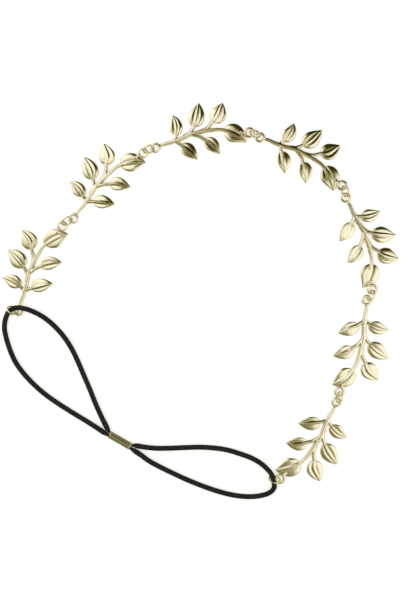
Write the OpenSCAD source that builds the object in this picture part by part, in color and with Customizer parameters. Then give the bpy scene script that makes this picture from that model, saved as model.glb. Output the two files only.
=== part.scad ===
/* [Leaf sprigs] */
// Distance from the centre of a sprig's base loop to the centre of its tip loop
sprig_len = 47.6; // [44:0.2:50]
// Height of the main stem above the flat back
stem_h = 2.1; // [1.8:0.1:2.4]
// Width of the main stem
stem_w = 2.3; // [1.8:0.1:2.4]
// Height of a leaf at the crest of its blade
leaf_h = 2.3; // [1.8:0.1:2.8]
// Thickness of a blade at its outer edge
edge_h = 0.8; // [0.5:0.1:1.2]
// How far down the blade the widest place lies, from 0 at the stalk to 1 at the tip
widest = 0.4; // [0.3:0.02:0.5]

/* [Loops and rings] */
// Outer diameter of the loop at the base of a sprig
base_loop_d = 5.2; // [5:0.1:5.4]
// Outer diameter of the loop at the tip of a sprig
tip_loop_d = 5.4; // [5.2:0.1:5.6]
// Thickness of the loops
loop_wire = 1.2; // [1.1:0.05:1.25]
// Height of the loops' middle above the flat back
loop_z = 2.2; // [2.15:0.05:2.25]
// The same for the loop at each end of the band, which the elastic passes over
end_loop_z = 1.65; // [1.6:0.05:1.7]
// Outer diameter of the jump rings between two sprigs
ring_d = 6.2; // [6.1:0.1:6.4]
// Outer diameter of the two end rings, which hold the elastic
end_ring_d = 6.4; // [6.3:0.1:6.6]
// Wire of all the rings
ring_wire = 0.85; // [0.75:0.05:0.85]

/* [Elastic and crimp] */
// Diameter of the round elastic
elastic_d = 2.6; // [2.2:0.1:2.6]
// Length of the crimp sleeve
crimp_l = 12.2; // [10:0.2:14]
// Width of the crimp sleeve as it lies
crimp_w = 3.6; // [3.4:0.1:4.2]
// Height of the crimp sleeve as it lies
crimp_h = 3.2; // [3:0.1:3.6]
// Wall of the crimp sleeve
crimp_wall = 0.35; // [0.25:0.05:0.4]

/* [Hidden] */

gold = [0.87, 0.78, 0.50];
dull_gold = [0.60, 0.58, 0.36];
black = [0.09, 0.09, 0.09];

// The sprigs lie flat, face up, and follow each other clockwise round the band.
// columns: heading of the sprig, distance to the next sprig's base loop, heading of that gap
chain = [
    [62.7, 6.8, 34],
    [43.2, 6.8, 23],
    [9.2, 5.7, -25],
    [-30.3, 6.4, -74],
    [-73.7, 6.1, -117.5],
    [-106.7, 5.5, -105],
    [-126.4, 0, 0]
];
first_loop = [-90.96, -8.8];

// Every place in a sprig is drawn in its own frame for a sprig of this length:
// the base loop is at the origin, the tip loop on +X, and +Y is the outside of the band.
drawn_len = 47.6;
scale_xy = sprig_len / drawn_len;

// columns: x, y, width as a share of stem_w, height of the underside
stem_path = [
    [2.7, 0.7, 0.76, 1.05],
    [4.8, 1.15, 0.85, 0.5],
    [7.7, 1.4, 0.95, 0],
    [12.1, 2.2, 1.01, 0],
    [16, 3.2, 0.97, 0],
    [19.7, 4.15, 1, 0],
    [24.2, 4.2, 0.94, 0],
    [29, 4.45, 0.87, 0]
];

// columns: root x, root y, bend x, bend y, base x, base y, tip x, tip y,
//          sideways bow of the midrib, blade width left of the midrib, blade width right of it
leaves = [
    [9.8, 2, 10.5, 2.95, 11, 4.65, 10.9, 15, -1.1, 3.5, 3.1],
    [15, 3.35, 18.4, 5.1, 20.4, 7.6, 24.9, 19.1, -0.5, 4.1, 4.1],
    [23, 4.45, 27.05, 5.75, 30.15, 8.4, 36.7, 17.2, -0.5, 3.7, 4.5],
    [10.3, 2.25, 11.25, 1, 12.85, -0.5, 19.9, -9.1, 0.3, 3.7, 3.1],
    [19.7, 3.55, 22.7, 2.1, 24.8, 0.25, 31.4, -8.2, 0.5, 3.7, 3],
    [28.6, 4.25, 32.4, 4.15, 35.25, 3.4, 45.4, -4.5, 1, 4.8, 4.6]
];

// Cross-sections of a blade, from stalk to tip
// columns: place along the midrib, crest height, midrib height, half width of the midrib
sections = [
    [0.03, 0.68, 0.94, 0.78],
    [0.14, 0.92, 0.98, 0.68],
    [0.33, 1.00, 1.00, 0.56],
    [0.55, 0.92, 0.94, 0.44],
    [0.76, 0.74, 0.80, 0.33],
    [0.91, 0.52, 0.60, 0.22]
];
tip_power = 1.7;
tip_z = 0.35;
groove_depth = 0.34;

// Shape of each blade half, as shares of its width and height, and the rounding of the midrib
crest_at = 0.42;
shoulder_at = 0.80;
shoulder_rise = 0.72;
ridge_at = 0.55;
ridge_round = 0.12;
section_points = 13;

// Height of a stalk and its width at the stem and at the bend, as shares of the stem's
stalk_h = 0.92;
stalk_root_w = 0.86;
stalk_bend_w = 0.82;

// Sides of the beads that the stem is hulled from, and how they taper below and above their waist
bead_sides = 7;
bead_foot = 0.86;
bead_top = 0.42;
bead_waist = 0.45;

loop_steps = 14;
loop_sides = 5;

// Blade outline: 0 at the stalk, 1 at the widest place and 0 at the tip
function span(t) = t < widest
    ? sqrt(1 - pow(1 - t / widest, 2))
    : 1 - pow((t - widest) / (1 - widest), tip_power);

function unit(v) = v / norm(v);
function left_of(v) = [-v[1], v[0]];

// Midrib of a leaf: a curve from base to tip that bows sideways by the given amount
function rib_control(a, b, bow) = (a + b) / 2 + 2 * bow * left_of(unit(b - a));
function rib_point(a, c, b, t) = (1 - t) * (1 - t) * a + 2 * t * (1 - t) * c + t * t * b;
function rib_heading(a, c, b, t) = unit((1 - t) * (c - a) + t * (b - c));

// One cross-section of a leaf: sideways places, left to right, and heights, with a flat back
function section_profile(s, left, right) =
    let (
        rib = s[3],
        wl = max(left * span(s[0]), rib + 0.1),
        wr = max(right * span(s[0]), rib + 0.1),
        crest = leaf_h * s[1],
        ridge = leaf_h * s[2],
        groove = min(crest, ridge) - groove_depth,
        edge = min(edge_h, 0.6 * crest),
        shoulder = edge + shoulder_rise * (crest - edge)
    ) [
        [wl, 0], [wl, edge],
        [rib + shoulder_at * (wl - rib), shoulder], [rib + crest_at * (wl - rib), crest],
        [rib, groove], [ridge_at * rib, ridge - ridge_round],
        [0, ridge],
        [-ridge_at * rib, ridge - ridge_round], [-rib, groove],
        [-rib - crest_at * (wr - rib), crest], [-rib - shoulder_at * (wr - rib), shoulder],
        [-wr, edge], [-wr, 0]
    ];

// Half-round section of a stalk, with as many points as a blade's section
function stalk_profile(w) = [
    for (k = [0 : section_points - 1])
        let (a = 180 * k / (section_points - 1))
        [w / 2 * cos(a), stalk_h * stem_h * pow(sin(a), 0.7)]
];

// A leaf with its stalk: half-round from the stem to the blade, where it runs on as the midrib
module leaf(root, bend, base, tip, bow, left, right) {
    control = rib_control(base, tip, bow);
    n = section_points;
    // columns: place, heading, section
    stations = concat(
        [
            [root, unit(bend - root), stalk_profile(stalk_root_w * stem_w)],
            [bend, unit(base - root), stalk_profile(stalk_bend_w * stem_w)]
        ],
        [
            for (s = sections)
                [
                    rib_point(base, control, tip, s[0]),
                    rib_heading(base, control, tip, s[0]),
                    section_profile(s, left, right)
                ]
        ]
    );
    last = len(stations) - 1;
    rings = [
        for (s = stations)
            let (side = left_of(s[1]))
            for (q = s[2]) [s[0][0] + q[0] * side[0], s[0][1] + q[0] * side[1], q[1]]
    ];
    start = len(rings);
    points = concat(rings, [[root[0], root[1], 0.5 * stem_h], [tip[0], tip[1], tip_z]]);
    skin = [
        for (i = [0 : last - 1])
            for (j = [0 : n - 1])
                let (a = i * n + j, b = i * n + (j + 1) % n)
                for (f = [[a, b + n, b], [a, a + n, b + n]]) f
    ];
    stem_end = [for (j = [0 : n - 1]) [j, (j + 1) % n, start]];
    tip_end = [for (j = [0 : n - 1]) [last * n + (j + 1) % n, last * n + j, start + 1]];
    polyhedron(points, concat(skin, stem_end, tip_end), 4);
}

// A low round-topped bead: pairs of beads are hulled into the stem
module bead(p, w, top, low) {
    waist = low + bead_waist * (top - low);
    translate([p[0], p[1], low])
        cylinder(h = waist - low, d1 = bead_foot * w, d2 = w, $fn = bead_sides);
    translate([p[0], p[1], waist])
        cylinder(h = top - waist, d1 = w, d2 = bead_top * w, $fn = bead_sides);
}

module main_stem() {
    for (i = [0 : len(stem_path) - 2])
        let (a = stem_path[i], b = stem_path[i + 1])
        hull() {
            bead([a[0], a[1]], stem_w * a[2], stem_h, a[3]);
            bead([b[0], b[1]], stem_w * b[2], stem_h, b[3]);
        }
}

module loop(x, outer_d, z) {
    translate([x, 0, z])
        rotate_extrude($fn = loop_steps)
            translate([(outer_d - loop_wire) / 2, 0])
                circle(d = loop_wire, $fn = loop_sides);
}

// Cast foot that carries the tip loop on the edge of the end leaf
module tip_foot(z) {
    hull() {
        translate([43.6, 0.9, z - 0.6]) cylinder(h = 0.9, d = 1.2, $fn = 8);
        translate([45.5, 0.5, z - 0.35]) cylinder(h = 0.7, d = 0.9, $fn = 8);
    }
}

// One casting: stem, six leaves and two loops at the given heights, in the sprig's own frame
module sprig_casting(base_loop_z, tip_loop_z) {
    scale([scale_xy, scale_xy, 1]) {
        main_stem();
        for (f = leaves)
            leaf([f[0], f[1]], [f[2], f[3]], [f[4], f[5]], [f[6], f[7]], f[8], f[9], f[10]);
        tip_foot(tip_loop_z);
    }
    loop(0, base_loop_d, base_loop_z);
    loop(sprig_len, tip_loop_d, tip_loop_z);
}

function toward(heading, distance) = distance * [cos(heading), sin(heading)];
function base_at(i) = i == 0 ? first_loop : tip_at(i - 1) + toward(chain[i - 1][2], chain[i - 1][1]);
function tip_at(i) = base_at(i) + toward(chain[i][0], sprig_len);

module leaf_sprig(i) {
    color(gold)
        translate([base_at(i - 1)[0], base_at(i - 1)[1], 0])
            rotate([0, 0, chain[i - 1][0]])
                sprig_casting(i == 1 ? end_loop_z : loop_z, i == len(chain) ? end_loop_z : loop_z);
}

// Clearance of a ring's low side above the ground
ring_lift = 0.02;

// A ring whose low side lies near the ground and whose high side leans over to the left of its heading
module ring(centre, heading, tilt, outer_d) {
    reach = (outer_d - ring_wire) / 2;
    translate([centre[0], centre[1], ring_wire / 2 + reach * sin(tilt) + ring_lift])
        rotate([0, 0, heading])
            rotate([tilt, 0, 0])
                rotate_extrude($fn = 48)
                    translate([reach, 0])
                        circle(d = ring_wire, $fn = 24);
}

// Tilt of each jump ring, and how far its middle lies to the outside of the line between its two loops
ring_tilt = [54, 55, 62, 58, 60, 63];
ring_out = 0.6;

module jump_ring(i) {
    gap = chain[i - 1];
    middle = tip_at(i - 1) + toward(gap[2], gap[1] / 2) + toward(gap[2] + 90, ring_out);
    color(gold) ring(middle, gap[2], ring_tilt[i - 1], ring_d);
}

// Where each end ring's middle lies, which way its level line points and how steeply it leans
left_ring = [[-93.85, -8.6], 149, 56];
right_ring = [[36.95, -92.9], 165, 58];

module end_ring_left() {
    color(gold) ring(left_ring[0], left_ring[1], left_ring[2], end_ring_d);
}

module end_ring_right() {
    color(gold) ring(right_ring[0], right_ring[1], right_ring[2], end_ring_d);
}

crimp_at = [-40.2, -73.6];
crimp_heading = -30;
crimp_corner = 1.1;

// A point in the crimp: so far along it and so far to its left, from its middle
function crimp_point(along, across) =
    concat(crimp_at + toward(crimp_heading, along) + toward(crimp_heading + 90, across), [crimp_h / 2]);

module rounded_bar(l, w, h, r) {
    rotate([90, 0, 90])
        linear_extrude(l, center = true) {
            square([w - 2 * r, h], center = true);
            square([w, h - 2 * r], center = true);
            for (x = [-1, 1], y = [-1, 1])
                translate([x * (w / 2 - r), y * (h / 2 - r)])
                    circle(r = r, $fn = 32);
        }
}

// Flattened sleeve that grips both strands of each elastic loop
module crimp_sleeve() {
    color(dull_gold)
        translate([crimp_at[0], crimp_at[1], crimp_h / 2])
            rotate([0, 0, crimp_heading])
                difference() {
                    rounded_bar(crimp_l, crimp_w, crimp_h, crimp_corner);
                    rounded_bar(crimp_l + 1, crimp_w - 2 * crimp_wall, crimp_h - 2 * crimp_wall,
                        crimp_corner - crimp_wall);
                }
}

// Two strands lie side by side in the crimp, squeezed to ovals, and swell again outside it
strand_gap = 0.06;
strand_w = (crimp_w - 2 * crimp_wall - 3 * strand_gap) / 2;
strand_h = crimp_h - 2 * crimp_wall - 2 * strand_gap;
strand_out = (strand_w + strand_gap) / 2;
mouth_w = 1.75;

// Route of the left loop, from the crimp over the foot of the first sprig, through its ring and back
// columns: x, y, height of the middle
left_run = [
    [-45.8, -69, 1.45], [-46.7, -67.4, 1.3], [-49.7, -61.4, 1.3], [-52.6, -54.9, 1.3],
    [-55.4, -47.9, 1.3], [-58.4, -40.9, 1.3], [-61.4, -33.9, 1.3], [-64.6, -27.4, 1.3],
    [-68.6, -21.4, 1.3], [-73.4, -16.1, 1.3], [-78.2, -12.2, 1.5], [-82.8, -9.6, 2.3],
    [-86.4, -8.1, 3.3], [-89.3, -7.4, 3.7], [-91.7, -7.3, 3.7], [-93.3, -7.6, 3.6],
    [-94.5, -8.2, 2.85], [-95.5, -9.1, 2.2], [-96.4, -10.3, 1.65], [-97.2, -12, 1.35],
    [-97.8, -14.4, 1.3], [-98, -17.9, 1.3], [-97.1, -22.4, 1.3], [-95.2, -28.4, 1.3],
    [-92.5, -34.4, 1.3], [-88.2, -40.4, 1.3], [-83, -45.9, 1.3], [-77.2, -50.9, 1.3],
    [-70.8, -55.4, 1.3], [-63.7, -59.9, 1.3], [-56.8, -64.1, 1.3], [-51.2, -67.7, 1.3],
    [-48.2, -69.7, 1.3], [-46.8, -70.6, 1.45]
];

// Route of the right loop, from the crimp through the last sprig's ring and back
right_run = [
    [-33.4, -76.1, 1.45], [-31.8, -76.3, 1.3], [-28.9, -76.8, 1.3], [-22.6, -77.5, 1.3],
    [-15.2, -77.5, 1.3], [-7.7, -77.2, 1.3], [-0.2, -77, 1.3], [6.8, -77.4, 1.3],
    [13.3, -78.4, 1.3], [19.8, -80.3, 1.3], [25.4, -82.4, 1.3], [29.9, -84.9, 1.6],
    [32.8, -87.3, 2.3], [34.8, -89.5, 3], [35.9, -91.4, 3.4], [36.4, -93.4, 3.4],
    [36.8, -95.3, 2.8], [36.8, -97, 1.95], [35.8, -98.7, 1.4], [33.8, -100.1, 1.3],
    [30.6, -101.1, 1.3], [25.8, -101.7, 1.3], [20.3, -101.5, 1.3], [13.8, -100.4, 1.3],
    [7.3, -98.6, 1.3], [0.8, -96.3, 1.3], [-6.2, -93.5, 1.3], [-13.2, -90.3, 1.3],
    [-20.2, -86.9, 1.3], [-25.7, -83.9, 1.3], [-29.7, -81, 1.3], [-32.8, -78.9, 1.3],
    [-34.4, -77.9, 1.45]
];

// The whole centre line of a loop, which starts and ends inside the crimp on the given side of its middle
function loop_route(run, side) = concat(
    [crimp_point(side * 0.1, strand_out), crimp_point(side * crimp_l / 2, strand_out)],
    run,
    [crimp_point(side * crimp_l / 2, -strand_out), crimp_point(side * 0.1, -strand_out)]
);

// Width and height of the elastic at one point of n
function strand_size(i, n) =
    let (from_end = min(i, n - 1 - i))
    from_end < 2 ? [strand_w, strand_h]
    : from_end == 2 ? [mouth_w, elastic_d - 0.1]
    : [elastic_d, elastic_d];

// Elastic swept along its route as an eight-sided tube
module elastic_tube(route) {
    sides = 8;
    n = len(route);
    rings = [
        for (i = [0 : n - 1])
            let (
                ahead = unit(route[min(i + 1, n - 1)] - route[max(i - 1, 0)]),
                level = unit([-ahead[1], ahead[0], 0]),
                upward = cross(ahead, level),
                size = strand_size(i, n) / 2
            )
            for (k = [0 : sides - 1])
                let (a = 360 * (k + 0.5) / sides)
                route[i] + size[0] * cos(a) * level + size[1] * sin(a) * upward
    ];
    skin = [
        for (i = [0 : n - 2])
            for (k = [0 : sides - 1])
                let (a = i * sides + k, b = i * sides + (k + 1) % sides)
                for (f = [[a, b + sides, b], [a, a + sides, b + sides]]) f
    ];
    first_end = [[for (k = [0 : sides - 1]) k]];
    last_end = [[for (k = [0 : sides - 1]) n * sides - 1 - k]];
    polyhedron(rings, concat(skin, first_end, last_end), 4);
}

module elastic_left() {
    color(black) elastic_tube(loop_route(left_run, -1));
}

module elastic_right() {
    color(black) elastic_tube(loop_route(right_run, 1));
}

for (i = [1 : 7])
    leaf_sprig(i);
for (i = [1 : 6])
    jump_ring(i);
end_ring_left();
end_ring_right();
crimp_sleeve();
elastic_left();
elastic_right();
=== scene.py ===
"""Leaf headband: its looks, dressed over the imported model. Lengths in the tables are in mm."""

import math

import bpy
import numpy as np
import openvdb
from mathutils import Matrix, Vector


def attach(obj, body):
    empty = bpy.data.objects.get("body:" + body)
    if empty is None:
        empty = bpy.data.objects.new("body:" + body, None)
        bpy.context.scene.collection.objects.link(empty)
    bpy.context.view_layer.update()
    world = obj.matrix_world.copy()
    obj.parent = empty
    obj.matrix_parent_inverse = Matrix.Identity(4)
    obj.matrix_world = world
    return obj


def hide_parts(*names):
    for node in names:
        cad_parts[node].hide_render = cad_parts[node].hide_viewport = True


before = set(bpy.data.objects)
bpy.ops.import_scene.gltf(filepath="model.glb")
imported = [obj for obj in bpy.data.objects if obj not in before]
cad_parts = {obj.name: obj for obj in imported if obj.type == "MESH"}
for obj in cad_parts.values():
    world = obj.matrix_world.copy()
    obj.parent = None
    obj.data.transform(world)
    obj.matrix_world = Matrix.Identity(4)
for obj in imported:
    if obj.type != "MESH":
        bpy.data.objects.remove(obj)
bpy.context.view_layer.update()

MM = 0.001


def unit(v):
    return v / np.linalg.norm(v)


def left_of(v):
    return np.array([-v[1], v[0]])


def toward(heading, distance):
    a = math.radians(heading)
    return np.array([math.cos(a), math.sin(a)]) * distance


def new_material(name):
    mat = bpy.data.materials.new(name)
    mat.use_nodes = True
    return mat, mat.node_tree.nodes, mat.node_tree.links, mat.node_tree.nodes["Principled BSDF"]


def add_noise(nodes, links, scale, detail):
    """Fine noise that stays with the object."""
    coord = nodes.new("ShaderNodeTexCoord")
    noise = nodes.new("ShaderNodeTexNoise")
    noise.inputs["Scale"].default_value = scale
    noise.inputs["Detail"].default_value = detail
    links.new(coord.outputs["Object"], noise.inputs["Vector"])
    return noise.outputs["Fac"]


def add_ramp(nodes, links, source, target, low, high):
    """Colours target by source. low and high are a position and a colour each."""
    ramp = nodes.new("ShaderNodeValToRGB")
    for element, (position, colour) in zip(ramp.color_ramp.elements, (low, high)):
        element.position = position
        element.color = (*colour, 1)
    links.new(source, ramp.inputs["Fac"])
    links.new(ramp.outputs["Color"], target)


def add_bump(nodes, links, source, bsdf, strength, distance):
    bump = nodes.new("ShaderNodeBump")
    bump.inputs["Strength"].default_value = strength
    bump.inputs["Distance"].default_value = distance
    links.new(source, bump.inputs["Height"])
    links.new(bump.outputs["Normal"], bsdf.inputs["Normal"])


def new_mesh(name, points, faces, material, smooth=True):
    mesh = bpy.data.meshes.new(name)
    mesh.from_pydata(np.asarray(points).tolist(), [], faces)
    if smooth:
        mesh.shade_smooth()
    mesh.materials.append(material)
    return mesh


def add_piece(name, mesh, matrix, node):
    """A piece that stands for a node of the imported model. Its place is baked into its mesh."""
    mesh.transform(matrix)
    obj = bpy.data.objects.new(name, mesh)
    bpy.context.scene.collection.objects.link(obj)
    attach(obj, "root")
    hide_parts(node)
    return obj


def placed(x, y, z, heading, tilt=0.0):
    """A piece's own frame: tilted about its X axis, then turned to its heading."""
    return (
        Matrix.Translation(Vector((x, y, z)) * MM)
        @ Matrix.Rotation(math.radians(heading), 4, "Z")
        @ Matrix.Rotation(math.radians(tilt), 4, "X")
    )


# ---- Camera: it looks straight down on the band ----

VIEW_CENTRE = (0.0, -3.67)
VIEW_HEIGHT = 300.5  # what the long side of the picture takes in at MID_HEIGHT
MID_HEIGHT = 1.0
LENS = 100.0
SENSOR = 36.0
NEAR_CLIP = 0.01  # metres


def make_camera():
    data = bpy.data.cameras.new("camera")
    data.lens = LENS
    data.sensor_width = SENSOR
    data.clip_start = NEAR_CLIP
    camera = bpy.data.objects.new("camera", data)
    camera.location = Vector((*VIEW_CENTRE, VIEW_HEIGHT * LENS / SENSOR + MID_HEIGHT)) * MM
    bpy.context.scene.collection.objects.link(camera)
    bpy.context.scene.camera = camera


make_camera()
bpy.context.scene.view_settings.view_transform = "Standard"

# ---- Elastic: two loops of round braided cord that start and end in the crimp ----

ELASTIC_D = 2.6
CRIMP_AT = (-40.2, -73.6)
CRIMP_HEADING = -30
CRIMP_L = 12.2
CRIMP_W = 3.6
CRIMP_H = 3.2
CRIMP_WALL = 0.35
CRIMP_CORNER = 1.1
# the two strands that lie side by side in each half of the crimp
STRAND_GAP = 0.06
STRAND_W = (CRIMP_W - 2 * CRIMP_WALL - 3 * STRAND_GAP) / 2
STRAND_H = CRIMP_H - 2 * CRIMP_WALL - 2 * STRAND_GAP
STRAND_OUT = (STRAND_W + STRAND_GAP) / 2  # sideways from the crimp's middle line
STRAND_END = 0.1  # how far from the crimp's middle they end
MOUTH_W = 1.75  # a strand's size just outside the crimp
MOUTH_H = ELASTIC_D - 0.1

# route of each loop outside the crimp: x, y, height of the middle
LEFT_RUN = [
    (-45.8, -69, 1.45), (-46.7, -67.4, 1.3), (-49.7, -61.4, 1.3), (-52.6, -54.9, 1.3),
    (-55.4, -47.9, 1.3), (-58.4, -40.9, 1.3), (-61.4, -33.9, 1.3), (-64.6, -27.4, 1.3),
    (-68.6, -21.4, 1.3), (-73.4, -16.1, 1.3), (-78.2, -12.2, 1.5), (-82.8, -9.6, 2.3),
    (-86.4, -8.1, 3.3), (-89.3, -7.4, 3.7), (-91.7, -7.3, 3.7), (-93.3, -7.6, 3.6),
    (-94.5, -8.2, 2.85), (-95.5, -9.1, 2.2), (-96.4, -10.3, 1.65), (-97.2, -12, 1.35),
    (-97.8, -14.4, 1.3), (-98, -17.9, 1.3), (-97.1, -22.4, 1.3), (-95.2, -28.4, 1.3),
    (-92.5, -34.4, 1.3), (-88.2, -40.4, 1.3), (-83, -45.9, 1.3), (-77.2, -50.9, 1.3),
    (-70.8, -55.4, 1.3), (-63.7, -59.9, 1.3), (-56.8, -64.1, 1.3), (-51.2, -67.7, 1.3),
    (-48.2, -69.7, 1.3), (-46.8, -70.6, 1.45),
]
RIGHT_RUN = [
    (-33.4, -76.1, 1.45), (-31.8, -76.3, 1.3), (-28.9, -76.8, 1.3), (-22.6, -77.5, 1.3),
    (-15.2, -77.5, 1.3), (-7.7, -77.2, 1.3), (-0.2, -77, 1.3), (6.8, -77.4, 1.3),
    (13.3, -78.4, 1.3), (19.8, -80.3, 1.3), (25.4, -82.4, 1.3), (29.9, -84.9, 1.6),
    (32.8, -87.3, 2.3), (34.8, -89.5, 3), (35.9, -91.4, 3.4), (36.4, -93.4, 3.4),
    (36.8, -95.3, 2.8), (36.8, -97, 1.95), (35.8, -98.7, 1.4), (33.8, -100.1, 1.3),
    (30.6, -101.1, 1.3), (25.8, -101.7, 1.3), (20.3, -101.5, 1.3), (13.8, -100.4, 1.3),
    (7.3, -98.6, 1.3), (0.8, -96.3, 1.3), (-6.2, -93.5, 1.3), (-13.2, -90.3, 1.3),
    (-20.2, -86.9, 1.3), (-25.7, -83.9, 1.3), (-29.7, -81, 1.3), (-32.8, -78.9, 1.3),
    (-34.4, -77.9, 1.45),
]
LEFT_LENGTH = 186.0  # with both its ends inside the crimp
RIGHT_LENGTH = 172.0

BRAID_PITCH = 3.6  # length in which a thread goes once round
BRAID_THREADS = 8  # threads that turn each way
BRAID_DEPTH = 0.07
FADE_LENGTH = 8.0  # over which the threads' relief grows to its full depth
FADE_START = 0.7  # where it starts, from each end, as a share of FADE_LENGTH
ROUTE_STEPS = 16  # points of the curve for each point of the route
STEP_ALONG = 0.2
STEPS_ROUND = 32
PATH_EVERY = 20


def catmull(points, per_span, dims):
    """A smooth curve through the points. dims says how many of their columns are a place."""
    p = np.asarray(points, float)
    p = np.vstack([2 * p[0] - p[1], p, 2 * p[-1] - p[-2]])
    out = []
    for i in range(1, len(p) - 2):
        t0 = 0.0
        t1 = t0 + math.sqrt(np.linalg.norm(p[i][:dims] - p[i - 1][:dims]))
        t2 = t1 + math.sqrt(np.linalg.norm(p[i + 1][:dims] - p[i][:dims]))
        t3 = t2 + math.sqrt(np.linalg.norm(p[i + 2][:dims] - p[i + 1][:dims]))
        for t in np.linspace(t1, t2, per_span, endpoint=False):
            a1 = (t1 - t) / (t1 - t0) * p[i - 1] + (t - t0) / (t1 - t0) * p[i]
            a2 = (t2 - t) / (t2 - t1) * p[i] + (t - t1) / (t2 - t1) * p[i + 1]
            a3 = (t3 - t) / (t3 - t2) * p[i + 1] + (t - t2) / (t3 - t2) * p[i + 2]
            b1 = (t2 - t) / (t2 - t0) * a1 + (t - t0) / (t2 - t0) * a2
            b2 = (t3 - t) / (t3 - t1) * a2 + (t - t1) / (t3 - t1) * a3
            out.append((t2 - t) / (t2 - t1) * b1 + (t - t1) / (t2 - t1) * b2)
    out.append(p[-2])
    return np.array(out)


def evenly(line, step):
    """The same line with its points a step apart, and the length from its start to each."""
    gone = np.concatenate([[0], np.cumsum(np.linalg.norm(np.diff(line[:, :3], axis=0), axis=1))])
    places = np.linspace(0, gone[-1], round(gone[-1] / step) + 1)
    columns = [np.interp(places, gone, column) for column in line.T]
    return np.column_stack(columns), places


def crimp_point(along, across):
    place = np.array(CRIMP_AT) + toward(CRIMP_HEADING, along) + toward(CRIMP_HEADING + 90, across)
    return (*place, CRIMP_H / 2)


def loop_route(run, side):
    """A loop from end to end, inside the crimp too. Columns: x, y, z, width, height."""
    inner = [crimp_point(side * STRAND_END, out) for out in (STRAND_OUT, -STRAND_OUT)]
    mouth = [crimp_point(side * CRIMP_L / 2, out) for out in (STRAND_OUT, -STRAND_OUT)]
    places = [inner[0], mouth[0], *run, mouth[1], inner[1]]
    free, squeezed, held = (ELASTIC_D, ELASTIC_D), (MOUTH_W, MOUTH_H), (STRAND_W, STRAND_H)
    sizes = [held, held, squeezed] + [free] * (len(run) - 2) + [squeezed, held, held]
    return np.column_stack([places, sizes])


def braided_cord(name, run, side, material):
    """Mesh of a tube whose threads cross over and under each other, and the path it follows."""
    line, along = evenly(catmull(loop_route(run, side), ROUTE_STEPS, dims=3), STEP_ALONG)
    line[:, 2] = np.maximum(line[:, 2], line[:, 4] / 2)
    ahead = np.gradient(line[:, :3], axis=0)
    ahead /= np.linalg.norm(ahead, axis=1)[:, None]
    level = np.column_stack([-ahead[:, 1], ahead[:, 0], np.zeros(len(line))])
    level /= np.linalg.norm(level, axis=1)[:, None]
    upward = np.cross(ahead, level)

    turn = np.arange(STEPS_ROUND) * 2 * np.pi / STEPS_ROUND
    phase = along[:, None] * 2 * np.pi * BRAID_THREADS / BRAID_PITCH
    first = np.cos(BRAID_THREADS * turn[None, :] + phase)
    second = np.cos(BRAID_THREADS * turn[None, :] - phase)
    relief = np.maximum(first, second) - 1
    fade = np.clip(np.minimum(along, along[-1] - along) / FADE_LENGTH - FADE_START, 0, 1)[:, None]
    depth = BRAID_DEPTH * relief * fade
    half = line[:, 3:5, None] / 2 + depth[:, None, :]
    points = (
        line[:, None, :3]
        + (half[:, 0] * np.cos(turn))[:, :, None] * level[:, None, :]
        + (half[:, 1] * np.sin(turn))[:, :, None] * upward[:, None, :]
    ).reshape(-1, 3)
    faces = []
    for i in range(len(line) - 1):
        for k in range(STEPS_ROUND):
            a, b = i * STEPS_ROUND + k, i * STEPS_ROUND + (k + 1) % STEPS_ROUND
            faces.append((a, b, b + STEPS_ROUND, a + STEPS_ROUND))
    faces.append(tuple(reversed(range(STEPS_ROUND))))
    faces.append(tuple(len(points) - STEPS_ROUND + k for k in range(STEPS_ROUND)))
    return new_mesh(name, points * MM, faces, material), line[::PATH_EVERY, :3] * MM


def elastic_material():
    mat, nodes, links, bsdf = new_material("black_braid")
    bsdf.inputs["Roughness"].default_value = 0.6
    bsdf.inputs["Specular IOR Level"].default_value = 0.15
    noise = add_noise(nodes, links, scale=900.0, detail=4.0)
    dark, light = (0.35, (0.006, 0.006, 0.005)), (0.7, (0.02, 0.019, 0.017))
    add_ramp(nodes, links, noise, bsdf.inputs["Base Color"], dark, light)
    add_bump(nodes, links, noise, bsdf, strength=0.5, distance=0.03 * MM)
    return mat


def make_cords():
    black = elastic_material()
    for name, node, run, side, length in (
        ("braided_elastic_left", "elastic_left", LEFT_RUN, -1, LEFT_LENGTH),
        ("braided_elastic_right", "elastic_right", RIGHT_RUN, 1, RIGHT_LENGTH),
    ):
        mesh, path = braided_cord(name, run, side, black)
        piece = add_piece(name, mesh, Matrix.Identity(4), node)


make_cords()

# ---- Floor, light and what the metal mirrors ----

FLOOR_HALF = 6.0  # metres
FLOOR_DROP = 0.05
FLOOR_WHITE = 0.64
FLOOR_GLOW = 0.5
GLOW_TINT = (1.0, 0.985, 0.89)  # it warms the shadows
SKY_WHITE = 0.9

# the softbox that lights the matt things, in metres and watts
KEY_AT = (-0.45, -0.15, 0.75)
KEY_SIZE = (0.25, 0.35)
KEY_POWER = 1.5

TENT_RADIUS = 0.3  # metres
TENT_ROWS, TENT_COLUMNS = 90, 120
# what the metal mirrors, seen from the band's middle: azimuth, elevation and width in degrees,
# and brightness
TENT_PATCHES = [
    (156, 21, 34.7, 1.22),  # softbox on the left
    (355, 36, 22.2, 1.21),  # softbox on the right
    (66, 31, 28.1, 0.03),  # dark gap beyond the band
    (214, 25, 35.9, 0.22),  # dim wall on the near side
    (119, 52, 14.7, 1.3),  # glow high up on the far left
    (78, -38, 20.2, 0.13),  # the dark gap, low down
]
TENT_REST = (0.71, 0.029)  # brightness between the patches, and its weight against theirs
TENT_EDGE = 1.65  # how hard the patches' edges are: at 1 they are bell curves
# brightness, and the tint that goes with it
TENT_TINTS = [
    (0.05, (1.0, 0.87, 0.25)),
    (0.15, (1.0, 0.90, 0.42)),
    (0.50, (1.0, 0.99, 0.82)),
    (0.80, (1.0, 1.01, 1.0)),
    (1.20, (0.98, 1.01, 1.12)),
]


def stage_mesh(name, points, faces, material):
    obj = bpy.data.objects.new(name, new_mesh(name, points, faces, material, smooth=False))
    bpy.context.scene.collection.objects.link(obj)
    return obj


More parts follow.
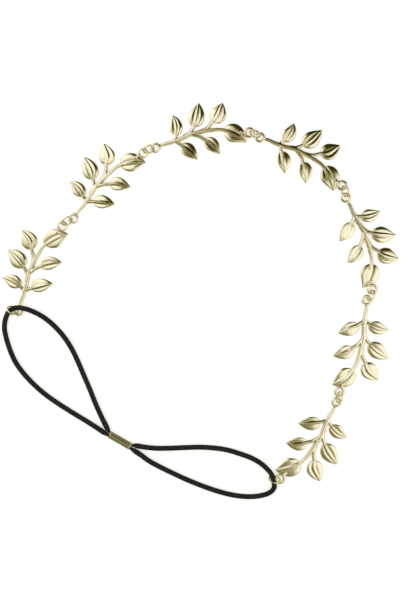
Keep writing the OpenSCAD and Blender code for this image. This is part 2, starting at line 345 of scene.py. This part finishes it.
def make_floor():
    """The floor, which the metal doesn't mirror."""
    mat, _, _, bsdf = new_material("floor_white")
    bsdf.inputs["Base Color"].default_value = (FLOOR_WHITE,) * 3 + (1,)
    bsdf.inputs["Roughness"].default_value = 1.0
    bsdf.inputs["Specular IOR Level"].default_value = 0.0
    bsdf.inputs["Emission Color"].default_value = (*GLOW_TINT, 1)
    bsdf.inputs["Emission Strength"].default_value = FLOOR_GLOW
    h, z = FLOOR_HALF, -FLOOR_DROP * MM
    corners = [(-h, -h, z), (h, -h, z), (h, h, z), (-h, h, z)]
    floor = stage_mesh("floor", corners, [(0, 1, 2, 3)], mat)
    floor.visible_glossy = False


def tent_colours(ways):
    """Colour of the tent in each direction: its patches blend into each other."""
    weight = np.full(len(ways), TENT_REST[1] ** TENT_EDGE)
    total = TENT_REST[0] * weight
    for azimuth, elevation, width, brightness in TENT_PATCHES:
        a, e = math.radians(azimuth), math.radians(elevation)
        middle = np.array([math.cos(a) * math.cos(e), math.sin(a) * math.cos(e), math.sin(e)])
        share = np.exp(TENT_EDGE * (ways @ middle - 1) / (1 - math.cos(math.radians(width))))
        total += share * brightness
        weight += share
    tone = total / weight
    levels, tints = zip(*TENT_TINTS)
    tint = np.column_stack([np.interp(tone, levels, channel) for channel in zip(*tints)])
    return tone[:, None] * tint


def make_tent():
    """A globe that only reflections see."""
    ways = []
    for up in np.radians(np.linspace(-90, 90, TENT_ROWS + 1)):
        for a in np.arange(TENT_COLUMNS) * 2 * np.pi / TENT_COLUMNS:
            ways.append((math.cos(a) * math.cos(up), math.sin(a) * math.cos(up), math.sin(up)))
    ways = np.array(ways)
    faces = []
    for i in range(TENT_ROWS):
        low, high = i * TENT_COLUMNS, (i + 1) * TENT_COLUMNS
        for k in range(TENT_COLUMNS):
            n = (k + 1) % TENT_COLUMNS
            faces.append((low + k, high + k, high + n, low + n))
    mat = bpy.data.materials.new("tent_glow")
    mat.use_nodes = True
    nodes, links = mat.node_tree.nodes, mat.node_tree.links
    nodes.clear()
    out = nodes.new("ShaderNodeOutputMaterial")
    glow = nodes.new("ShaderNodeEmission")
    tone = nodes.new("ShaderNodeVertexColor")
    tone.layer_name = "tone"
    links.new(tone.outputs["Color"], glow.inputs["Color"])
    links.new(glow.outputs[0], out.inputs["Surface"])
    tent = stage_mesh("tent", ways * TENT_RADIUS, faces, mat)
    colours = np.column_stack([tent_colours(ways), np.ones(len(ways))])
    layer = tent.data.color_attributes.new("tone", "FLOAT_COLOR", "POINT")
    layer.data.foreach_set("color", colours.ravel())
    tent.visible_camera = False
    tent.visible_diffuse = False
    tent.visible_shadow = False
    tent.visible_transmission = False


def make_world():
    world = bpy.data.worlds.new("studio")
    bpy.context.scene.world = world
    world.use_nodes = True
    world.node_tree.nodes["Background"].inputs["Color"].default_value = (SKY_WHITE,) * 3 + (1,)


def make_key_light():
    """A softbox that is turned to the band's middle."""
    data = bpy.data.lights.new("key", "AREA")
    data.shape = "RECTANGLE"
    data.size, data.size_y = KEY_SIZE
    data.energy = KEY_POWER
    lamp = bpy.data.objects.new("key", data)
    lamp.location = KEY_AT
    lamp.rotation_euler = (-Vector(KEY_AT)).to_track_quat("-Z", "Y").to_euler()
    lamp.visible_camera = False
    bpy.context.scene.collection.objects.link(lamp)


make_floor()
make_tent()
make_world()
make_key_light()

# ---- Metals ----

NOISE_LOW, NOISE_HIGH = 0.3, 0.7  # most of the noise's values lie between these
DEEPER = 0.95  # a metal's colour where the noise is low, as a share of its full colour


def metal(name, colour, roughness, spread):
    """Plating whose gloss wanders a little. Fine dimples break up the reflections."""
    mat, nodes, links, bsdf = new_material(name)
    bsdf.inputs["Metallic"].default_value = 1.0
    noise = add_noise(nodes, links, scale=350.0, detail=3.0)
    gloss = nodes.new("ShaderNodeMapRange")
    gloss.inputs["From Min"].default_value = NOISE_LOW
    gloss.inputs["From Max"].default_value = NOISE_HIGH
    gloss.inputs["To Min"].default_value = roughness - spread
    gloss.inputs["To Max"].default_value = roughness + spread
    links.new(noise, gloss.inputs["Value"])
    links.new(gloss.outputs["Result"], bsdf.inputs["Roughness"])
    dark, light = (NOISE_LOW, [c * DEEPER for c in colour]), (NOISE_HIGH, colour)
    add_ramp(nodes, links, noise, bsdf.inputs["Base Color"], dark, light)
    add_bump(nodes, links, noise, bsdf, strength=0.12, distance=0.02 * MM)
    return mat


GOLD = metal("pale_gold", (0.87, 0.79, 0.53), roughness=0.055, spread=0.02)
# The rings get a warmer, more saturated copy of the sprigs' gold: painted warm light that stands
# for light bounced between the gold parts
RING_GOLD_PAINTED_BOUNCE = metal("ring_gold_painted_bounce", (0.88, 0.78, 0.44), roughness=0.08, spread=0.02)
DULL_GOLD = metal("olive_gold", (0.68, 0.66, 0.40), roughness=0.16, spread=0.04)

# ---- Sprig: one casting of a stem, six leaves and two loops ----

SPRIG_LEN = 47.6
STEM_H = 2.1
STEM_W = 2.3
STEM_LEAN = 0.35  # how far to the left the stem's crest lies, as a share of its half width
STEM_POWER = 4.5  # how boxy the stem's section is, and how steeply it falls off
STEM_FALL = 1.2
BASE_LOOP_D = 5.2
TIP_LOOP_D = 5.4
LOOP_WIRE = 1.2
LOOP_Z = 2.2  # height of a loop's middle
END_LOOP_Z = 1.65  # the same at the chain's two ends
# the neck between the end leaf and the tip loop
NECK_START = (43.6, 0.9)
NECK_END = (45.3, 0.5)
NECK_DROP = 0.2  # how much lower than the loop's middle it starts
NECK_R = 0.45

LEAF_H = 2.3
WIDEST = 0.4  # where a blade is widest, as a share of its length
TIP_POWER = 1.7  # how full a blade is towards its tip
MIN_HALF = 0.3  # least half width of a blade that the relief reckons with
RIDGE_ROOT = 0.8  # half width of the ridge at the blade's base
RIDGE_FALL = 1.2  # what it would lose from there to the tip
RIDGE_MOST = 0.8  # most of the blade's half width that it takes up
EDGE_H = 0.8  # height of the blade's edge
EDGE_MOST = 0.6  # most of the lobe's height that the edge has
RIM_WIDTH = 0.9  # how far from the edge the blade may have its full height
STALK_POWER = 0.42  # how full a stalk's section is (0.5 is an ellipse)

# how softly these meet, in mm
SOFT_RIDGE = 0.2  # the ridge's root, with the rest of the ridge
SOFT_BLADE = 0.16  # a blade's top, with its sides
SOFT_STALK = 0.12
SOFT_STEM = 0.15
SOFT_STEM_BELOW = 0.3
SOFT_STALK_BLADE = 0.06
SOFT_LEAF_STEM = 0.14
SOFT_BASE_LOOP = 0.3
SOFT_NECK = 0.35
SOFT_TIP_LOOP = 0.25
SOFT_UNDERSIDE = 0.12

# x, y, width as a share of the stem's, height of the underside
STEM_PATH = [
    (2.7, 0.7, 0.76, 1.05),
    (4.8, 1.15, 0.85, 0.5),
    (7.7, 1.4, 0.95, 0),
    (12.1, 2.2, 1.01, 0),
    (16, 3.2, 0.97, 0),
    (19.7, 4.15, 1, 0),
    (24.2, 4.2, 0.94, 0),
    (29, 4.4, 0.87, 0),
    (32.4, 4.1, 0.76, 0),
    (35.6, 3.3, 0.6, 0),
]

# root, bend, base and tip (x, y each), bow of the midrib, blade widths left and right of it
LEAVES = [
    (9.8, 2, 10.5, 2.95, 11, 4.65, 10.9, 15, -1.1, 3.5, 3.1),
    (15, 3.35, 18.4, 5.1, 20.4, 7.6, 24.9, 19.1, -0.5, 4.1, 4.1),
    (23, 4.45, 27.05, 5.75, 30.15, 8.4, 36.7, 17.2, -0.5, 3.7, 4.5),
    (10.3, 2.25, 11.25, 1, 12.85, -0.5, 19.9, -9.1, 0.3, 3.7, 3.1),
    (19.7, 3.55, 22.7, 2.1, 24.8, 0.25, 31.4, -8.2, 0.5, 3.7, 3),
    (28.6, 4.25, 32.4, 4.15, 35.25, 3.4, 45.4, -4.5, 1, 4.8, 4.6),
]

# Relief of each of those blades. Depth of the groove on the left and right of the ridge and height
# of the lobes beyond, as shares of SECTIONS; where in its lobe each crest lies, from the groove;
# how boxy the lobes are (2 is an ellipse); shift of the ridge to the left, in mm, as a bow and as
# an S; its share of the blade; how boxy it is; share of its height that is a narrow roll on its
# top; half width of that roll, in mm
RELIEFS = [
    (1.0, 0.7, 0.77, 0.90, 0.60, 0.30, 1.9, 0.2, 0.0, 0.26, 4.1, 0.0, 0.5),
    (0.7, 0.35, 0.82, 0.97, 0.43, 0.35, 1.9, 0.1, -0.1, 0.26, 4.4, 0.0, 0.32),
    (0.25, 0.7, 0.82, 0.85, 0.27, 0.67, 1.5, -0.7, -0.3, 0.27, 3.9, 0.07, 0.6),
    (0.0, 0.5, 0.75, 0.78, 0.12, 0.74, 1.7, -0.15, -0.1, 0.31, 4.1, 0.55, 0.33),
    (0.25, 0.85, 0.75, 0.75, 0.30, 0.62, 3.0, 0.25, 0.1, 0.30, 3.9, 0.45, 0.25),
    (0.6, 0.2, 0.94, 0.75, 0.40, 0.50, 2.1, -0.35, -0.05, 0.23, 2.4, 0.75, 0.48),
]

# place along the midrib, and as shares of LEAF_H: height of a lobe, height of the ridge, depth of
# the grooves
SECTIONS = np.array([
    (0.0, 0.62, 0.93, 0.06),
    (0.14, 0.82, 0.98, 0.12),
    (0.33, 0.89, 1.00, 0.14),
    (0.55, 0.85, 0.94, 0.13),
    (0.76, 0.69, 0.80, 0.10),
    (0.91, 0.48, 0.60, 0.06),
    (1.0, 0.34, 0.36, 0.02),
])

SECTION_REACH = 0.06  # how far to each side of a place the table is averaged
SECTION_TAPS = 7

RIB_STEPS = 160
# half width of a stalk and its height as a share of LEAF_H: at its root, at its bend, and at these
# points of the blade's midrib
STALK_SIZES = [(1.0, 0.88), (0.94, 0.86), (0.86, 0.90), (0.68, 0.90), (0.4, 0.70)]
STALK_RIB = (0, RIB_STEPS // 6, RIB_STEPS // 3)
STALK_STEPS = 12  # points of the curve for each point of the table
STEM_STEPS = 14

STEP = 0.18  # spacing of the grid on which the sprig's surface is found
GRID_LOW = np.array([-3.4, -10.4, -0.51])
GRID_HIGH = np.array([51.2, 20.4, 3.3])
LEAF_MARGIN = 1.5  # room on the grid round a leaf
MAX_SLOPE = 3.0  # steepest slope of a height map that is allowed for
TINY = 1e-12  # keeps an outline's empty step from being divided by


def span(t):
    """Half width of a blade as a share of its widest place."""
    t = np.clip(t, 0, 1)
    head = np.sqrt(np.clip(1 - (1 - t / WIDEST) ** 2, 0, 1))
    tail = 1 - (np.clip(t - WIDEST, 0, 1) / (1 - WIDEST)) ** TIP_POWER
    return np.where(t < WIDEST, head, tail)


def section(t, column):
    """A column of SECTIONS at t, with the table's corners rounded off."""
    shifts = np.linspace(-SECTION_REACH, SECTION_REACH, SECTION_TAPS)
    taps = (np.interp(t + s, SECTIONS[:, 0], SECTIONS[:, column]) for s in shifts)
    return sum(taps) / SECTION_TAPS


def outline_distance(px, py, outline):
    """Distance to a closed outline in the plane, negative inside it."""
    nearest = np.full(px.shape, np.inf)
    inside = np.zeros(px.shape, bool)
    for (ax, ay), (bx, by) in zip(outline, np.roll(outline, -1, 0)):
        ex, ey, wx, wy = bx - ax, by - ay, px - ax, py - ay
        t = np.clip((wx * ex + wy * ey) / (ex * ex + ey * ey + TINY), 0, 1)
        nearest = np.minimum(nearest, (wx - ex * t) ** 2 + (wy - ey * t) ** 2)
        if ay != by:
            inside ^= ((ay > py) != (by > py)) & (px < ex * wy / ey + ax)
    return np.where(inside, -1, 1) * np.sqrt(nearest)


def nearest_on(px, py, line):
    """How far along a line each place is, in steps, how far to its left, and how far from it."""
    heading = np.gradient(line, axis=0)
    length = np.linalg.norm(heading, axis=1)
    best = np.full(px.shape, np.inf)
    index = np.zeros(px.shape, int)
    for i, (x, y) in enumerate(line):
        d = (px - x) ** 2 + (py - y) ** 2
        closer = d < best
        best[closer] = d[closer]
        index[closer] = i
    ux, uy = heading[index, 0] / length[index], heading[index, 1] / length[index]
    dx, dy = px - line[index, 0], py - line[index, 1]
    steps = (dx * ux + dy * uy) / length[index]
    return np.clip(index + steps, 0, len(line) - 1), dy * ux - dx * uy, np.sqrt(best)


def smooth_min(a, b, k):
    h = np.clip(0.5 + 0.5 * (b - a) / k, 0, 1)
    return b * (1 - h) + a * h - k * h * (1 - h)


def smooth_max(a, b, k):
    return -smooth_min(-a, -b, k)


def above(height, z):
    """How far each place of the grid is above a height map, measured square to its surface."""
    gx, gy = np.gradient(height, STEP)
    slope = np.sqrt(1 + np.clip(gx * gx + gy * gy, 0, MAX_SLOPE**2))
    return (z - height[:, :, None]) / slope[:, :, None]


def blade(px, py, z, leaf, relief):
    """A ridge down the middle, a groove on each side of it, and a swollen lobe beyond each groove.

    Gives the blade's distance field, and its midrib.
    """
    base, tip = np.array(leaf[4:6], float), np.array(leaf[6:8], float)
    bow, left, right = leaf[8:]
    left_depth, right_depth, left_height, right_height, left_crest, right_crest = relief[:6]
    lobe_power, shift, twist, ridge_share, ridge_power, roll, roll_half = relief[6:]
    control = (base + tip) / 2 + 2 * bow * left_of(unit(tip - base))
    t = np.linspace(0, 1, RIB_STEPS + 1)[:, None]
    rib = (1 - t) ** 2 * base + 2 * t * (1 - t) * control + t * t * tip
    heading = (1 - t) * (control - base) + t * (tip - control)
    heading /= np.linalg.norm(heading, axis=1)[:, None]
    side = np.column_stack([-heading[:, 1], heading[:, 0]])
    outline = np.vstack([rib + side * left * span(t), (rib - side * right * span(t))[-2:0:-1]])
    edge_gap = outline_distance(px, py, outline[::2])

    index, lateral, _ = nearest_on(px, py, rib)
    place = index / RIB_STEPS
    off = shift * np.sin(np.pi * place) + twist * np.sin(2 * np.pi * place)
    lateral = lateral - off
    on_left, across = lateral > 0, np.abs(lateral)
    half = np.where(on_left, left * span(place) - off, right * span(place) + off)
    half = np.maximum(half, MIN_HALF)
    crest = LEAF_H * section(place, 1) * np.where(on_left, left_height, right_height)
    ridge = LEAF_H * section(place, 2)
    depth = LEAF_H * section(place, 3) * np.where(on_left, left_depth, right_depth)
    groove = np.minimum(crest, ridge) - depth
    groove_at = smooth_max(RIDGE_ROOT - RIDGE_FALL * place, ridge_share * half, SOFT_RIDGE)
    groove_at = np.minimum(groove_at, RIDGE_MOST * half)
    edge = np.minimum(EDGE_H, EDGE_MOST * crest)
    inside = np.clip(across / groove_at, 0, 1)
    dome = (1 - roll) * (1 - inside**ridge_power) + roll * np.exp(-((across / roll_half) ** 2))
    middle = groove + (ridge - groove) * dome
    v = np.clip((across - groove_at) / (half - groove_at), 0, 1)
    crest_at = np.where(on_left, left_crest, right_crest)
    rise = 1 - (1 - np.clip(v / crest_at, 0, 1)) ** 2
    fall = np.clip(v - crest_at, 0, 1) / (1 - crest_at)
    outer = edge + (crest - edge) * np.clip(1 - fall**lobe_power, 0, 1) ** (1 / lobe_power)
    inner = groove + (crest - groove) * rise
    height = np.where(across < groove_at, middle, np.where(v < crest_at, inner, outer))
    rim = np.clip(-edge_gap / RIM_WIDTH, 0, 1)
    height = np.minimum(height, edge + (ridge - edge) * np.sqrt(1 - (1 - rim) ** 2))
    return smooth_max(above(height, z), edge_gap[:, :, None], SOFT_BLADE), rib


def stalk(px, py, z, leaf, rib):
    """The stalk, which sinks into the ridge of its blade."""
    places = [leaf[0:2], leaf[2:4], *(rib[k] for k in STALK_RIB)]
    table = [(*place, *size) for place, size in zip(places, STALK_SIZES)]
    line = catmull(table, STALK_STEPS, dims=2)
    index, lateral, gap = nearest_on(px, py, line[:, :2])
    steps = np.arange(len(line))
    radius = np.interp(index, steps, line[:, 2])
    top = LEAF_H * np.interp(index, steps, line[:, 3])
    share = np.clip(np.abs(lateral) / radius, 0, 1)
    height = top * (1 - share**2) ** STALK_POWER
    return smooth_max(above(height, z), (gap - radius)[:, :, None], SOFT_STALK)


def stem(px, py, z):
    line = catmull(STEM_PATH, STEM_STEPS, dims=2)
    index, lateral, gap = nearest_on(px, py, line[:, :2])
    steps = np.arange(len(line))
    radius = STEM_W / 2 * np.interp(index, steps, line[:, 2])
    low = np.interp(index, steps, line[:, 3])
    off = lateral / radius - STEM_LEAN
    share = np.clip(np.abs(off) / np.where(off > 0, 1 - STEM_LEAN, 1 + STEM_LEAN), 0, 1)
    height = low + (STEM_H - low) * (1 - share**STEM_POWER) ** STEM_FALL
    field = smooth_max(above(height, z), (gap - radius)[:, :, None], SOFT_STEM)
    return smooth_max(field, low[:, :, None] - z, SOFT_STEM_BELOW)


def torus(px, py, z, x, middle, outer_d):
    across = np.hypot(px - x, py) - (outer_d - LOOP_WIRE) / 2
    return np.sqrt(across[:, :, None] ** 2 + (z - middle) ** 2) - LOOP_WIRE / 2


def rod(px, py, z, start, end, radius):
    start, way = np.array(start, float), np.array(end, float) - np.array(start, float)
    x, y, h = px[:, :, None] - start[0], py[:, :, None] - start[1], z - start[2]
    t = np.clip((x * way[0] + y * way[1] + h * way[2]) / (way @ way), 0, 1)
    return np.sqrt((x - t * way[0]) ** 2 + (y - t * way[1]) ** 2 + (h - t * way[2]) ** 2) - radius


def sprig_grid():
    """The grid's axes, and its places in arrays that together spread over the whole grid."""
    axes = [np.arange(GRID_LOW[k], GRID_HIGH[k], STEP) for k in range(3)]
    px, py = np.meshgrid(axes[0], axes[1], indexing="ij")
    return axes, px, py, axes[2][None, None, :]


def stem_and_leaves():
    """Distance field of a sprig without its loops, on the grid."""
    axes, px, py, z = sprig_grid()
    field = stem(px, py, z)
    for leaf, relief in zip(LEAVES, RELIEFS):
        xs, ys = (leaf[0], leaf[4], leaf[6]), (leaf[1], leaf[5], leaf[7])
        reach = max(leaf[9:11]) + LEAF_MARGIN
        i0, i1 = np.searchsorted(axes[0], (min(xs) - reach, max(xs) + reach))
        j0, j1 = np.searchsorted(axes[1], (min(ys) - reach, max(ys) + reach))
        part = (slice(i0, i1), slice(j0, j1))
        body, rib = blade(px[part], py[part], z, leaf, relief)
        body = smooth_min(body, stalk(px[part], py[part], z, leaf, rib), SOFT_STALK_BLADE)
        field[part] = smooth_min(field[part], body, SOFT_LEAF_STEM)
    return field


def sprig_mesh(name, field, base_z, tip_z):
    """The casting's skin: the zero surface of its field, with loops at the given heights."""
    _, px, py, z = sprig_grid()
    neck = rod(px, py, z, (*NECK_START, tip_z - NECK_DROP), (*NECK_END, tip_z), NECK_R)
    field = smooth_min(field, torus(px, py, z, 0.0, base_z, BASE_LOOP_D), SOFT_BASE_LOOP)
    field = smooth_min(field, neck, SOFT_NECK)
    field = smooth_min(field, torus(px, py, z, SPRIG_LEN, tip_z, TIP_LOOP_D), SOFT_TIP_LOOP)
    field = smooth_max(field, -z, SOFT_UNDERSIDE)
    grid = openvdb.FloatGrid(1.0)
    grid.copyFromArray(field.astype(np.float32))
    points, quads = grid.convertToQuads(isovalue=0.0)
    points = points * STEP + GRID_LOW
    return new_mesh(name, points * MM, quads.tolist(), GOLD)


# heading of each sprig, distance to the next one's base loop, heading of that gap
CHAIN = [
    (62.7, 6.8, 34),
    (43.2, 6.8, 23),
    (9.2, 5.7, -25),
    (-30.3, 6.4, -74),
    (-73.7, 6.1, -117.5),
    (-106.7, 5.5, -105),
    (-126.4, 0, 0),
]
FIRST_LOOP = (-90.96, -8.8)


def make_sprigs():
    """Places the seven sprigs, and returns where each one's tip loop is."""
    body = stem_and_leaves()
    first, last = 1, len(CHAIN)
    skins = {
        first: sprig_mesh("first_sprig", body, END_LOOP_Z, LOOP_Z),
        last: sprig_mesh("last_sprig", body, LOOP_Z, END_LOOP_Z),
    }
    middle_skin = sprig_mesh("middle_sprig", body, LOOP_Z, LOOP_Z)
    tips = []
    base = np.array(FIRST_LOOP)
    for number, (heading, gap, gap_heading) in enumerate(CHAIN, 1):
        skin = skins[number] if number in skins else middle_skin.copy()
        place = placed(*base, 0, heading)
        add_piece(f"gilt_sprig_{number}", skin, place, f"leaf_sprig_{number}")
        tips.append(base + toward(heading, SPRIG_LEN))
        base = tips[-1] + toward(gap_heading, gap)
    return tips


tip_loops = make_sprigs()

# ---- Rings: round wire, bent shut ----

RING_D = 6.2
END_RING_D = 6.4
RING_WIRE = 0.85
RING_LIFT = 0.02  # clearance under each ring
RING_OUT = 0.6  # how far to the left of the gap between two loops a ring's middle lies
RING_TILT = (54, 55, 62, 58, 60, 63)
RING_CUT = (230, 255, 290, 215, 270, 240)  # where round each ring its cut lies
LEFT_RING = ((-93.85, -8.6), 149, 56, 35)  # middle, heading, tilt, cut
RIGHT_RING = ((36.95, -92.9), 165, 58, 200)
CUT_GAP = 0.05
CUT_ROUND = 0.06
CUT_BEND = 0.3  # where the rounding's middle point lies, as a share of CUT_ROUND
RING_SIDES = 24
RING_STEPS = 120


def ring_mesh(name, outer_d, cut_at):
    """A wire ring whose two ends, rounded at their rims, all but meet at the cut."""
    reach, r, sides = (outer_d - RING_WIRE) / 2, RING_WIRE / 2, RING_SIDES
    half_gap = math.degrees(CUT_GAP / 2 / reach)
    roll = math.degrees(CUT_ROUND / reach)
    ends = [(0.0, r - CUT_ROUND), (CUT_BEND * roll, r - CUT_BEND * CUT_ROUND), (roll, r)]
    body = np.linspace(half_gap + roll, 360 - half_gap - roll, RING_STEPS)
    stations = [(half_gap + a, size) for a, size in ends]
    stations += [(a, r) for a in body[1:-1]]
    stations += [(360 - half_gap - a, size) for a, size in reversed(ends)]
    turn = np.arange(sides) * 2 * np.pi / sides
    points, faces = [], []
    for degrees, size in stations:
        a = math.radians(cut_at + degrees)
        for b in turn:
            out = reach + size * math.cos(b)
            points.append((out * math.cos(a) * MM, out * math.sin(a) * MM, size * math.sin(b) * MM))
    for i in range(len(stations) - 1):
        for k in range(sides):
            n = (k + 1) % sides
            faces.append((i * sides + k, (i + 1) * sides + k, (i + 1) * sides + n, i * sides + n))
    faces.append(tuple(range(sides)))
    last = (len(stations) - 1) * sides
    faces.append(tuple(last + k for k in reversed(range(sides))))
    # the rings' warmer gold is painted bounce light
    return new_mesh(name, points, faces, RING_GOLD_PAINTED_BOUNCE)


def add_ring(name, node, centre, heading, tilt, outer_d, cut_at):
    height = RING_WIRE / 2 + (outer_d - RING_WIRE) / 2 * math.sin(math.radians(tilt)) + RING_LIFT
    mesh = ring_mesh(name, outer_d, cut_at)
    add_piece(name, mesh, placed(*centre, height, heading, tilt), node)


def make_rings():
    links = zip(tip_loops, CHAIN, RING_TILT, RING_CUT)
    for number, (tip, (_, gap, heading), tilt, cut) in enumerate(links, 1):
        middle = tip + toward(heading, gap / 2) + toward(heading + 90, RING_OUT)
        add_ring(f"round_link_{number}", f"jump_ring_{number}", middle, heading, tilt, RING_D, cut)
    for side, (middle, heading, tilt, cut) in (("left", LEFT_RING), ("right", RIGHT_RING)):
        add_ring(f"end_link_{side}", f"end_ring_{side}", middle, heading, tilt, END_RING_D, cut)


make_rings()

# ---- Crimp: a flattened sleeve with rolled ends ----

# place along the sleeve from each end, and how far inside its outer size the skin lies there
CRIMP_ENDS = [
    (0.0, 0.12), (0.05, 0.05), (0.14, 0.0), (0.34, 0.0), (0.5, 0.03), (0.8, 0.05), (1.2, 0.05),
]
# the seam along its top, where the outer flap steps down to the inner one: across, and depth below
# the top
CRIMP_SEAM = [(1.05, 0.36), (0.98, 0.355), (0.92, 0.33), (0.3, 0.02), (0.24, 0.005), (0.17, 0.0)]
SEAM_CORNER = 0.7
SEAM_TURN = 82  # degrees that the lower corner turns through, up to the seam
BORE_SEAM = (0.6, 0.1)  # across, between which the bore has the points that pair with the seam's
BORE_IN = 0.02  # how far inside the sleeve's ends the bore starts
CORNER_STEPS = 12


def bar_outline(w, h, r):
    out = []
    for sx, sy, start in ((1, 1, 0), (-1, 1, 90), (-1, -1, 180), (1, -1, 270)):
        for a in np.radians(start + np.linspace(0, 90, CORNER_STEPS)):
            out.append((sx * (w / 2 - r) + r * math.cos(a), sy * (h / 2 - r) + r * math.sin(a)))
    return out


def seamed_outline(inset):
    """The sleeve's section: a rounded bar whose first corner lies lower, beyond the seam."""
    bar = bar_outline(CRIMP_W - 2 * inset, CRIMP_H - 2 * inset, CRIMP_CORNER - inset)
    r = SEAM_CORNER - inset
    x, y = CRIMP_W / 2 - inset - r, CRIMP_H / 2 - inset - CRIMP_SEAM[0][1] - r
    angles = np.radians(np.linspace(0, SEAM_TURN, CORNER_STEPS))
    corner = [(x + r * math.cos(a), y + r * math.sin(a)) for a in angles]
    top = [(across, CRIMP_H / 2 - inset - depth) for across, depth in CRIMP_SEAM]
    return corner + top + bar[CORNER_STEPS:]


def crimp_mesh():
    """The sleeve's outside from end to end and back through its bore."""
    half, wall = CRIMP_L / 2, CRIMP_WALL
    stations = [(-half + a, inset) for a, inset in CRIMP_ENDS]
    stations += [(half - a, inset) for a, inset in reversed(CRIMP_ENDS)]
    rings = [[(x, *p) for p in seamed_outline(inset)] for x, inset in stations]
    bore = bar_outline(CRIMP_W - 2 * wall, CRIMP_H - 2 * wall, CRIMP_CORNER - wall)
    top = [(across, CRIMP_H / 2 - wall) for across in np.linspace(*BORE_SEAM, len(CRIMP_SEAM))]
    bore = bore[:CORNER_STEPS] + top + bore[CORNER_STEPS:]
    rings += [[(x, *p) for p in bore] for x in (half - BORE_IN, -half + BORE_IN)]
    n, total = len(rings[0]), len(rings)
    faces = []
    for i in range(total):
        j = (i + 1) % total
        for k in range(n):
            m = (k + 1) % n
            faces.append((i * n + m, j * n + m, j * n + k, i * n + k))
    return new_mesh("crimped_sleeve", np.array(rings).reshape(-1, 3) * MM, faces, DULL_GOLD)


crimp_place = placed(*CRIMP_AT, CRIMP_H / 2, CRIMP_HEADING)
add_piece("crimped_sleeve", crimp_mesh(), crimp_place, "crimp_sleeve")
